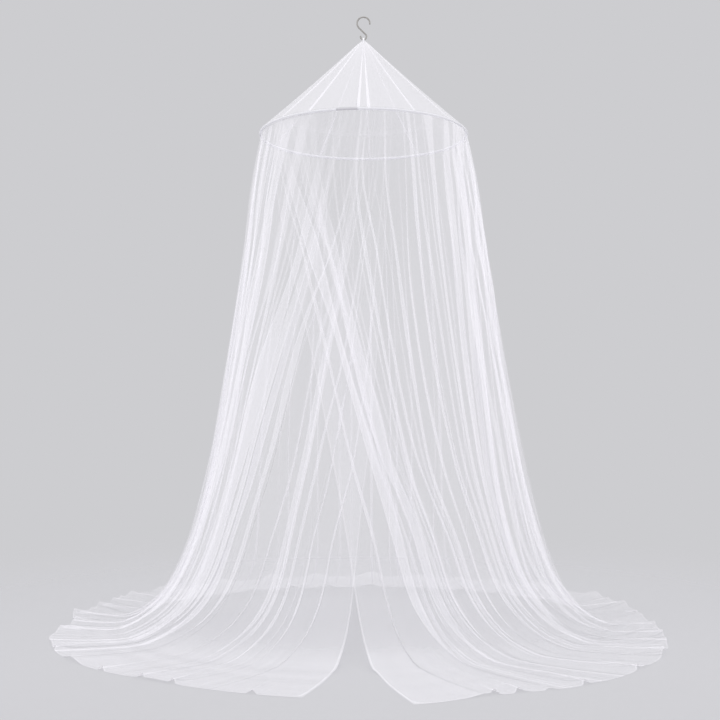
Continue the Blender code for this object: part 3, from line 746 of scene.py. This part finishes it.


# %% [markdown]
# The net comes off one long roll, but one mesh of it would be too heavy. So the wall is worked out
# whole and cut into four meshes that share their edge points. Columns are set closer where the
# hem is widest.

# %% Make the wall
WALL_ROWS = 86
PANEL_COLUMNS = 1090        # so that a panel stays under 200,000 triangles
PANELS = ("net_wall_front_right", "net_wall_back_right", "net_wall_back_left", "net_wall_front_left")
rows = np.linspace(0.0, len(WALL_SECTIONS) - 1.0, WALL_ROWS)
fine = np.linspace(FIRST_ANGLE, LAST_ANGLE, CLOTH_SAMPLES)
hem_share = (swings["hem"] - swings["hem"][0]) / (swings["hem"][-1] - swings["hem"][0])
share = np.linspace(0.0, 1.0, CLOTH_SAMPLES) + np.interp(fine, swings["hoop"], hem_share)
flow = np.interp(np.linspace(0.0, 2.0, len(PANELS) * (PANEL_COLUMNS - 1) + 1), share, fine)
points, at_hoop, down, density = wall_surface(rows, flow)
middle = WALL_ROWS // 2
run = np.append(0.0, np.cumsum(np.linalg.norm(np.diff(points[middle], axis=0), axis=-1)))
along = np.interp(at_hoop, at_hoop[middle], run)
edge = np.minimum(np.minimum(along, run[-1] - along), (down[-1] - down)[:, None])
uv = np.stack(np.broadcast_arrays(along, down[:, None]), axis=-1)
for number, name in enumerate(PANELS):
    part = slice(number * (PANEL_COLUMNS - 1), (number + 1) * (PANEL_COLUMNS - 1) + 1)
    panel = surface(name, points[:, part], uv[:, part], white_net,
                    edge_distance=edge[:, part], thread_density=density[:, part])
    hand_over(panel, "net_wall")

# %% [markdown]
# ## The roof
#
# The roof is a cone of the same net from the tape loop to the hoop, pulled smooth. A cone unrolls
# flat, so its UV map is the unrolled fan: the distance from the peak, turned by the angle times
# the cone's sine. That way the holes keep their size from crown to foot. Its few pleats are
# pressed flat and widen with the radius, and a shallow crease runs across the back. The net is
# drawn in towards the crown, so its threads lie closer there.

# %% Roof surface
ROOF_CROWN_RADIUS = 0.0085  # a small crown under the tape loop
ROOF_CROWN_RISE = 0.0012
ROOF_SAG = 0.004            # halfway down the cone
ROOF_FOOT = HOOP_HEIGHT + SLEEVE_REACH + GAP
ROOF_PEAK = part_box("net_roof")[1].z - FLOOR - ROOF_CROWN_RISE - 2.0 * SHEET_MIDDLE
ROOF_COLUMNS = ("angle", "half_width", "lap", "lean", "crease")
# Angle and half width are in degrees, the lap at the foot in millimetres.
ROOF_PLEATS = (
    (-47.5, 3, 9, 1, 0.6),
    (-29, 3, 8, 1, 0.6),
    (-2.7, 2.5, 10, 1, 0.15),
    (2.7, 2.5, 10, -1, 0.15),
    (27, 2.4, 6, -1, 0.6),
    (52, 2.4, 4, -1, 0.2),
    (88, 3, 6, 1, 0.1),
    (112, 2.6, 6, -1, 0.3),
    (146, 2.6, 6, 1, 0.3),
    (176, 2.4, 4, 1, 0.2),
    (207, 2.6, 6, -1, 0.3),
    (243, 2.8, 7, 1, 0.3),
    (285, 3, 6, -1, 0.1),
)
ROOF_ROWS = 44
ROOF_SEGMENTS = 1080
CROWN_SHARES = (-0.024, -0.016, -0.008)     # three more rows close the crown inwards
CROWN_END = 0.0245          # this far under share 0 the crown would close to a point
ROOF_TILT = 0.22            # how much a pleat's arrow tilts outwards
ROOF_DENSITY = 1.75         # how close the threads lie, 1 being the net laid flat
ROOF_DRAWN_FORWARD = 0.20   # the pleats at the front take in this much more of the net
CROWN_DENSITY = 1.2         # added at the very top, where the net is gathered
CROWN_FADE = 0.035          # the radius over which that fades
CREASE_RADIUS = 0.250       # the shallow crease across the back
BACK_CREASE_WIDTH = 0.0035
CREASE_DEPTH = 0.002
CREASE_DENSITY = 0.8
CREASE_ENDS = (70.0, 50.0)  # degrees from the back, where it has gone and where it is full


def roof_surface(rows, columns):
    """Radius grows evenly from crown to foot, height falls in a straight line less a parabola's
    sag, and each pleat is a short wave along a slanted arrow that grows with the radius."""
    share = np.concatenate((CROWN_SHARES, np.linspace(0.0, 1.0, rows - len(CROWN_SHARES))))[:, None]
    turn = (np.arange(columns) * math.tau / columns)[None, :]
    radius = np.where(share < 0.0, ROOF_CROWN_RADIUS * (1.0 + share / CROWN_END),
                      ROOF_CROWN_RADIUS + (HOOP_RADIUS - ROOF_CROWN_RADIUS) * share)
    on_cone = np.maximum(share, 0.0)
    height = ROOF_PEAK + (ROOF_FOOT - ROOF_PEAK) * on_cone
    height = height - ROOF_SAG * 4.0 * on_cone * (1.0 - on_cone)
    height = height + ROOF_CROWN_RISE * (1.0 - (radius / ROOF_CROWN_RADIUS).clip(0.0, 1.0) ** 2)
    lift = np.full((rows, columns), SHEET_MIDDLE)
    side = np.zeros((rows, columns))
    density = ROOF_DENSITY * (1.0 + ROOF_DRAWN_FORWARD * np.cos(turn))
    density = density + CROWN_DENSITY * np.exp(-radius / CROWN_FADE)
    pleat_table = read_table(ROOF_COLUMNS, ROOF_PLEATS)
    for number in range(len(pleat_table["angle"])):
        one = {name: column[number] for name, column in pleat_table.items()}
        away = (np.degrees(turn) - one["angle"] + 180.0) % 360.0 - 180.0
        x = np.clip(away / one["half_width"], -1.0, 1.0)
        wave = np.sin(math.pi * x) * (1.0 + np.cos(math.pi * x)) / PLEAT_WAVE_TOP
        half = math.radians(one["half_width"]) * HOOP_RADIUS
        reach = 0.5 * one["lap"] / 1000.0 + half / 3.0
        side = side - reach * wave * on_cone
        lift = lift + ROOF_TILT * reach * wave * one["lean"] * np.sqrt(on_cone) * (1.15 - on_cone)
        from_edge = (np.abs(x) - 1.0 / 3.0) * half / CREASE_WIDTH
        density = density + one["crease"] * np.exp(-from_edge ** 2)
    at_back = ease(*CREASE_ENDS, np.abs((np.degrees(turn) % 360.0) - 180.0))
    crease = np.exp(-((radius - CREASE_RADIUS) / BACK_CREASE_WIDTH) ** 2) * at_back
    lift = lift - CREASE_DEPTH * crease
    density = density + CREASE_DENSITY * crease
    streaks = fine_waves(count=20, seed=4, low=30, high=110, across=turn / math.tau, drop=on_cone)
    density = density + STREAKS * streaks
    slope = math.atan2(ROOF_PEAK - ROOF_FOOT, HOOP_RADIUS - ROOF_CROWN_RADIUS)
    outward = lift * math.sin(slope) * (on_cone > 0.0)
    points = around(radius + outward, turn, height + lift * math.cos(slope))
    sideways = np.stack((np.cos(turn), np.sin(turn), np.zeros_like(turn)), axis=-1)
    points = points + sideways * side[..., None] + (0.0, 0.0, FLOOR)
    along = radius / math.cos(slope)
    fan = np.concatenate((turn[0], [math.tau])) * math.cos(slope)
    uv = np.stack((along * np.cos(fan), along * np.sin(fan)), axis=-1)
    return points, uv, HOOP_RADIUS / math.cos(slope) - along, density


# %% [markdown]
# Laid flat the roof is a fan, cut from a square of net whose sides are twice the cone's slant. Its
# foot is sewn into the sleeve, so it shows no hem of its own: its edge distance never gets as small
# as a hem.

# %% Make the roof
points, uv, to_foot, density = roof_surface(ROOF_ROWS, ROOF_SEGMENTS)
roof = surface("net_roof_cloth", points, uv, white_net, wrap_columns=True, caps=("first",),
               edge_distance=to_foot + HEM_WIDTH * 2.0, thread_density=density)
hand_over(roof, "net_roof")

# %% [markdown]
# ## Hoop, sleeve, hook and loop
#
# All four are one profile carried along a path: a circle round the hoop's ring, a circle round the
# hook's two bends, and a flat, round-cornered section round the small oval of the loop. A curve
# with a bevel would make the same shapes, but the grid also gives each of them a UV map in metres.

# %% Path sweeper
def unit(vectors):
    """Scale vectors to length 1."""
    return vectors / np.linalg.norm(vectors, axis=-1, keepdims=True)


def sweep(path, across, up, section):
    """Carry sections along a path: point = path + across * section x + up * section y."""
    return path[:, None] + across[:, None] * section[..., :1] + up[:, None] * section[..., 1:]


def circle(radius, sides):
    """Points of a circle: (r cos t, r sin t), for one radius or one for each row."""
    turn = -np.arange(sides) * math.tau / sides
    return np.asarray(radius)[..., None, None] * np.stack((np.cos(turn), np.sin(turn)), axis=-1)


def metres_uv(grid, wrap_rows=False, wrap_columns=False):
    """UVs in metres: how far the path has run, and how far round the section the point lies."""
    closed = np.concatenate((grid, grid[:1])) if wrap_rows else grid
    closed = np.concatenate((closed, closed[:, :1]), axis=1) if wrap_columns else closed
    run = np.linalg.norm(np.diff(closed, axis=0), axis=-1).mean(axis=1)
    turn = np.linalg.norm(np.diff(closed, axis=1), axis=-1).mean(axis=0)
    run, turn = np.append(0.0, np.cumsum(run)), np.append(0.0, np.cumsum(turn))
    return np.stack(np.meshgrid(turn, run), axis=-1)


def ring_frame(turn):
    """Path round the hoop with its outward and upward directions."""
    path = around(HOOP_RADIUS, turn, HOOP_HEIGHT + FLOOR)
    outward = np.stack((np.sin(turn), -np.cos(turn), np.zeros_like(turn)), axis=-1)
    return path, outward, np.broadcast_to((0.0, 0.0, 1.0), path.shape)


# %% [markdown]
# ### Finishes of the hard pieces and the tape
#
# The rod is pulled glass fibre, grey, with fine lines along it. The tape is plain-woven polyester:
# rows of warp and weft 0.6 mm apart. The hook is mild steel wire, dipped in zinc after bending,
# which leaves a dull, slightly mottled skin with small bright rubs.

# %% Rod, tape and steel finishes
def show_pattern(tree, shader, pattern, low_colour, high_colour, strength, depth):
    """One pattern from 0 to 1 gives a finish its tone, between two colours, and its relief."""
    tone = add_node(tree, "ShaderNodeMix", {"data_type": "RGBA"}, {
        0: pattern, 6: linear(low_colour), 7: linear(high_colour)})
    relief = add_node(tree, "ShaderNodeBump", inputs={
        "Height": pattern, "Strength": strength, "Distance": depth})
    tree.links.new(tone.outputs[2], shader.inputs["Base Color"])
    tree.links.new(relief.outputs["Normal"], shader.inputs["Normal"])


ROD_LINES = (1800.0, 25.0, 1.0)     # noise cells in a metre, round the rod and along it
ZINC_CRYSTALS = 900.0               # noise cells in a metre


def make_rod_finish():
    """Pulled glass fibre and resin: satin grey, with faint lines along the rod."""
    made, tree, shader = new_finish("grey_glass_fibre_rod", "#BDBCC1", 0.42, IOR=1.52)
    cloth = add_node(tree, "ShaderNodeUVMap", {"uv_map": "cloth_metres"}).outputs["UV"]
    along = add_node(tree, "ShaderNodeMapping", inputs={
        "Vector": cloth, "Scale": ROD_LINES})
    lines = add_node(tree, "ShaderNodeTexNoise", {"noise_dimensions": "2D"}, {
        "Vector": along.outputs["Vector"], "Scale": 1.0, "Detail": 3.0})
    show_pattern(tree, shader, lines.outputs[0], "#AFAEB4", "#CAC9CE", 0.2, 0.0002)
    return made


THREAD_SPACING = 0.0006     # warp and weft of the tape
# Set low enough that the grey rod shows through as painted shade on the sleeve's inner side.
SLEEVE_COVER_AND_PAINTED_SHADE = 0.7          # how much of the rod the thin tape hides


def make_tape_finish(name, cover):
    """Plain weave: two sets of ridges that cross, soft white and quite rough. Cover is its alpha."""
    made, tree, shader = new_finish(name, "#F5F5F9", 0.8, Sheen_Weight=0.25, Alpha=cover)
    cloth = add_node(tree, "ShaderNodeUVMap", {"uv_map": "cloth_metres"}).outputs["UV"]
    weave = []
    for direction in ("X", "Y"):
        ridges = add_node(tree, "ShaderNodeTexWave", {"bands_direction": direction}, {
            "Vector": cloth, "Scale": math.pi / (10.0 * THREAD_SPACING)})
        weave.append(ridges.outputs["Fac"])
    both = add_node(tree, "ShaderNodeMath", {"operation": "MAXIMUM"}, {0: weave[0], 1: weave[1]})
    show_pattern(tree, shader, both.outputs["Value"], "#E4E4EA", "#FAFAFD", 0.5, 0.0001)
    return made


def make_steel_finish():
    """Zinc-dipped steel wire: grey metal, mottled by zinc crystals, duller in patches."""
    made, tree, shader = new_finish("zinc_dipped_steel_wire", "#9A9895", 0.36, Metallic=1.0)
    place = add_node(tree, "ShaderNodeTexCoord").outputs["Object"]
    mottle = add_node(tree, "ShaderNodeTexNoise", inputs={
        "Vector": place, "Scale": ZINC_CRYSTALS, "Detail": 4.0})
    dull = add_node(tree, "ShaderNodeMapRange", inputs={
        "Value": mottle.outputs[0], "From Min": 0.3, "From Max": 0.7, "To Min": 0.28, "To Max": 0.48})
    tree.links.new(dull.outputs["Result"], shader.inputs["Roughness"])
    show_pattern(tree, shader, mottle.outputs[0], "#8A8885", "#A8A6A3", 0.15, 0.0002)
    return made


grey_rod = make_rod_finish()
white_tape = make_tape_finish("white_woven_tape", 1.0)
thin_tape = make_tape_finish("thin_white_tape", SLEEVE_COVER_AND_PAINTED_SHADE)
zinc_steel = make_steel_finish()
print("finishes:", grey_rod.name, white_tape.name, thin_tape.name, zinc_steel.name)

# %% [markdown]
# ### The hoop in its sleeve
#
# The rod is bent into a ring and pushed into a sleeve: a strip of thinner tape, sewn into a tube,
# through which the rod shows a little. The grey that shows through is also painted shade for the
# sleeve's inner side. The sleeve leaves 11 degrees of the rod bare, where it was put in. It puckers
# a little at each stitch, and its two ends are turned in.

# %% Make the hoop and its sleeve
RING_POINTS, ROD_SIDES = 360, 16
path, outward, upward = ring_frame(np.arange(RING_POINTS) * math.tau / RING_POINTS)
points = sweep(path, outward, upward, circle(ROD_RADIUS, ROD_SIDES))
hoop = surface("hoop_rod", points, metres_uv(points, True, True), grey_rod,
               wrap_rows=True, wrap_columns=True)

SLEEVE_FROM = math.radians(-3.0)
SLEEVE_TO = math.radians(346.0)
PUCKER_PITCH = 0.012        # one stitch gathers this much
PUCKER_DEPTH = 0.00012
PUCKER_BEAT = 0.071         # over this length the puckers grow and fade
PUCKER_ROOM = 0.0001        # kept free under the sleeve's full radius
TURNED_IN = 0.0006          # the sleeve's two ends are turned in over this length
PINCHED = 0.0008            # and are this much tighter
SLEEVE_POINTS, SLEEVE_SIDES = 900, 20
turn = np.linspace(SLEEVE_FROM, SLEEVE_TO, SLEEVE_POINTS)
run = (turn - SLEEVE_FROM) * HOOP_RADIUS
to_end = np.minimum(run, run[-1] - run)
pucker = PUCKER_DEPTH * np.sin(math.tau * run / PUCKER_PITCH)
pucker = pucker * np.sin(math.tau * run / PUCKER_BEAT + 1.0)
at_end = SLEEVE_RADIUS - PINCHED * (1.0 - to_end / TURNED_IN)
radius = np.where(to_end < TURNED_IN, at_end, SLEEVE_RADIUS - PUCKER_ROOM + pucker)
path, outward, upward = ring_frame(turn)
points = sweep(path, outward, upward, circle(radius, SLEEVE_SIDES))
sleeve = surface("hoop_sleeve", points, metres_uv(points, False, True), thin_tape, wrap_columns=True)
hand_over(hoop, "hoop")
hand_over(sleeve, "hoop_binding")
print("sleeve leaves", round((math.tau - SLEEVE_TO + SLEEVE_FROM) * HOOP_RADIUS * 1000.0), "mm bare")

# %% [markdown]
# ### The S-hook
#
# The hook's wire runs round a large bend, through a short straight, and back round a small bend.
# The straight touches both circles from opposite sides, so its lean is the angle whose sine is
# the sum of the radii over the distance between the middles. The tips are rounded by letting the
# circle shrink over the last wire radius.

# %% Make the hook
WIRE_RADIUS = 0.0025
LARGE_BEND_RADIUS, LARGE_BEND_HEIGHT = 0.0200, 1.8786
SMALL_BEND_RADIUS, SMALL_BEND_HEIGHT = 0.0094, 1.8375
LARGE_TIP, SMALL_TIP = math.radians(-10.0), math.radians(-200.0)    # where the wire ends
LARGE_POINTS, SMALL_POINTS = 70, 50
TIP_ROWS = 0.012            # how much closer the rows lie towards both tips
TIP_ROUNDING = 0.98         # 1 would end in a point, this leaves a flat tip of a fifth of the radius
WIRE_POINTS, WIRE_SIDES = 150, 20
lean = math.asin((LARGE_BEND_RADIUS + SMALL_BEND_RADIUS) / (LARGE_BEND_HEIGHT - SMALL_BEND_HEIGHT))
large = np.linspace(LARGE_TIP, math.pi + lean, LARGE_POINTS)
small = np.linspace(lean, SMALL_TIP, SMALL_POINTS)
flat = np.concatenate((
    LARGE_BEND_RADIUS * np.stack((np.cos(large), np.sin(large)), -1) + (0.0, LARGE_BEND_HEIGHT),
    SMALL_BEND_RADIUS * np.stack((np.cos(small), np.sin(small)), -1) + (0.0, SMALL_BEND_HEIGHT)))
path = np.stack((flat[:, 0], np.zeros(len(flat)), flat[:, 1] + FLOOR), axis=-1)
run = np.append(0.0, np.cumsum(np.linalg.norm(np.diff(path, axis=0), axis=-1)))
evenly = np.linspace(0.0, 1.0, WIRE_POINTS)
evenly = run[-1] * (evenly - TIP_ROWS * np.sin(math.tau * evenly))
path = np.stack([np.interp(evenly, run, path[:, axis]) for axis in range(3)], axis=-1)
to_tip = np.minimum(evenly, run[-1] - evenly)
round_off = np.clip(1.0 - to_tip / WIRE_RADIUS, 0.0, TIP_ROUNDING)
along = unit(np.gradient(path, axis=0))
sideways = np.broadcast_to((0.0, 1.0, 0.0), path.shape)
wire = circle(WIRE_RADIUS * np.sqrt(1.0 - round_off ** 2), WIRE_SIDES)
points = sweep(path, np.cross(along, sideways), sideways, wire)
hook = surface("hook_wire", points, metres_uv(points, False, True), zinc_steel,
               wrap_columns=True, caps=("first", "last"))
hand_over(hook, "s_hook")
print("hook wire", round(float(run[-1]) * 1000.0), "mm long before bending")

# %% [markdown]
# ### The tape loop
#
# A short piece of tape passes through the hook's small bend and is sewn to the net's peak. Its
# section is thin, with flat sides and round corners. Raising the cosine and the sine of a circle
# to a power below 1 squares the circle off in just that way, and the path is a small oval that
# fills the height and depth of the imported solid.

# %% Make the tape loop
TAPE_WIDTH, TAPE_THICKNESS = 0.006, 0.0012
WIDTH_POWER, THICKNESS_POWER = 0.35, 0.5    # the smaller, the squarer
LOOP_POINTS, TAPE_SIDES = 72, 24
loop_low, loop_high = (corner.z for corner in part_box("hanging_loop"))
loop_half = (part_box("hanging_loop")[1].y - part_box("hanging_loop")[0].y) / 2.0
turn = np.arange(LOOP_POINTS) * math.tau / LOOP_POINTS
middle = (loop_low + loop_high) / 2.0
half_height = (loop_high - loop_low - TAPE_THICKNESS) / 2.0
path = np.stack((np.zeros_like(turn), (loop_half - TAPE_THICKNESS / 2.0) * np.sin(turn),
                 middle + half_height * np.cos(turn)), axis=-1)
outward = unit(np.stack((np.zeros_like(turn), np.sin(turn), np.cos(turn)), axis=-1))
width_way = np.broadcast_to((1.0, 0.0, 0.0), path.shape)
bend = np.arange(TAPE_SIDES) * math.tau / TAPE_SIDES
flat_side = TAPE_WIDTH / 2.0 * np.sign(np.cos(bend)) * np.abs(np.cos(bend)) ** WIDTH_POWER
thick_side = TAPE_THICKNESS / 2.0 * np.sign(np.sin(bend)) * np.abs(np.sin(bend)) ** THICKNESS_POWER
section = np.broadcast_to(np.stack((flat_side, thick_side), axis=-1), (LOOP_POINTS, TAPE_SIDES, 2))
points = sweep(path, width_way, outward, section)
loop = surface("tape_loop", points, metres_uv(points, True, True), white_tape,
               wrap_rows=True, wrap_columns=True)
hand_over(loop, "hanging_loop")
print("loop", round((loop_high - loop_low) * 1000.0, 1), "mm high")

# %% [markdown]
# ## Floor and surroundings
#
# A sheer white net shows best before pale grey: thin places take the grey of the background and
# folds stay white. The floor is a wide disc that fades out into a world of the same grey, so no
# horizon line shows through the net. For light the world is a white tent, as a product
# photographer would use, and only the camera sees it grey.

# %% Floor and world
FADE_NEAR, FADE_FAR = 1.3, 3.2      # metres from the hanging point, 1.9 m over the floor
PAPER_INNER, PAPER_OUTER = 0.02, 3.3        # radii; a cap closes the innermost ring
PAPER_UNDER = 0.0005                # how far the paper lies under the net
PAPER_RINGS, PAPER_SEGMENTS = 24, 96


def make_paper_finish():
    """Matt grey studio paper, a disc whose alpha falls with the distance from the hanging point."""
    made, tree, shader = new_finish("grey_studio_paper", "#C4C4C7", 0.95, Specular_IOR_Level=0.1)
    place = add_node(tree, "ShaderNodeTexCoord").outputs["Object"]
    away = add_node(tree, "ShaderNodeVectorMath", {"operation": "LENGTH"}, {0: place})
    fade = add_node(tree, "ShaderNodeMapRange", {"interpolation_type": "SMOOTHSTEP"}, {
        "Value": away.outputs["Value"], "From Min": FADE_NEAR, "From Max": FADE_FAR,
        "To Min": 1.0, "To Max": 0.0})
    tree.links.new(fade.outputs["Result"], shader.inputs["Alpha"])
    return made


def make_world():
    """A white tent as a light, and plain grey where the camera looks past the net."""
    world = bpy.data.worlds.new("studio_grey")
    world.use_nodes = True
    tree = world.node_tree
    seen = add_node(tree, "ShaderNodeBackground", inputs={
        "Color": linear("#CDCDD0"), "Strength": 1.0})
    tent = add_node(tree, "ShaderNodeBackground", inputs={
        "Color": linear("#FDFCFF"), "Strength": 0.93})
    ray = add_node(tree, "ShaderNodeLightPath")
    both = add_node(tree, "ShaderNodeMixShader", inputs={
        0: ray.outputs["Is Camera Ray"], 1: tent.outputs["Background"], 2: seen.outputs["Background"]})
    tree.links.new(both.outputs["Shader"], tree.nodes["World Output"].inputs["Surface"])
    return world


ring = np.linspace(PAPER_INNER, PAPER_OUTER, PAPER_RINGS)[:, None]
turn = (np.arange(PAPER_SEGMENTS) * math.tau / PAPER_SEGMENTS)[None, :]
disc = around(ring, turn, FLOOR - PAPER_UNDER)
floor = surface("studio_floor", disc, (0.0, 0.0), make_paper_finish(), wrap_columns=True, caps=("first",))
bpy.context.scene.world = make_world()
print("world:", bpy.context.scene.world.name)

# %% [markdown]
# ## Lamps
#
# Five wide lamps stand round the canopy: one at each side, in front, behind and above. They are
# weak beside the tent and only give the folds a soft side.

# %% Lamps
LAMP_TARGET = (0.0, 0.0, -0.9)      # the middle of the canopy
# Name, place, target, size in metres and power in watts.
LAMPS = (
    ("left", (-4.1, -1.2, 1.0), LAMP_TARGET, 3.0, 32.0),
    ("right", (4.1, -1.2, 1.0), LAMP_TARGET, 3.0, 32.0),
    ("front", (0.0, -5.2, 0.9), LAMP_TARGET, 3.0, 30.0),
    ("back", (0.4, 4.6, 0.9), LAMP_TARGET, 3.0, 20.0),
    ("top", (0.0, -0.4, 2.8), (0.0, 0.0, -1.0), 2.2, 26.0),
)


def add_lamp(name, place, target, size, power):
    """A square area lamp that looks from its place towards a target."""
    data = bpy.data.lights.new(name, "AREA")
    data.size, data.energy = size, power
    lamp = bpy.data.objects.new(name, data)
    lamp.location = place
    lamp.rotation_euler = (Vector(target) - Vector(place)).to_track_quat("-Z", "Y").to_euler()
    bpy.context.scene.collection.objects.link(lamp)


for lamp in LAMPS:
    add_lamp(*lamp)
print("lamps:", len(LAMPS), "with", sum(lamp[-1] for lamp in LAMPS), "W in all")

# %% [markdown]
# ## Camera
#
# The ellipses of the hoop and the hem say where the photographer stood: how wide they are gives the
# distance, and how open they are gives the height. The camera looks level, and a lens shift puts
# the horizon where it lies in the photo, so that upright lines stay upright.

# %% Camera
FRAME_PIXELS = 720.0        # the photo is square
FOCAL_PIXELS = 1106.0
HORIZON_PIXEL = 406.5       # from the top
AXIS_PIXEL = 363.5          # from the left, the line through hook and peak
CAMERA_AWAY = 3.47          # from that line
CAMERA_HEIGHT = 0.677       # over the floor
SENSOR_WIDTH = 36.0         # millimetres
camera_data = bpy.data.cameras.new("camera")
camera_data.sensor_width = SENSOR_WIDTH
camera_data.lens = SENSOR_WIDTH * FOCAL_PIXELS / FRAME_PIXELS
camera_data.shift_y = (HORIZON_PIXEL - FRAME_PIXELS / 2.0) / FRAME_PIXELS
camera_data.shift_x = -(AXIS_PIXEL - FRAME_PIXELS / 2.0) / FRAME_PIXELS
camera = bpy.data.objects.new("camera", camera_data)
camera.location = (0.0, -CAMERA_AWAY, CAMERA_HEIGHT + FLOOR)
camera.rotation_euler = (math.radians(90.0), 0.0, 0.0)
bpy.context.scene.collection.objects.link(camera)
bpy.context.scene.camera = camera
bpy.context.scene.view_settings.view_transform = "Standard"
bpy.context.scene.cycles.transparent_max_bounces = 64      # a ray may pass this many layers of net
print("lens", round(camera_data.lens, 1), "mm, shift", round(camera_data.shift_y, 3))
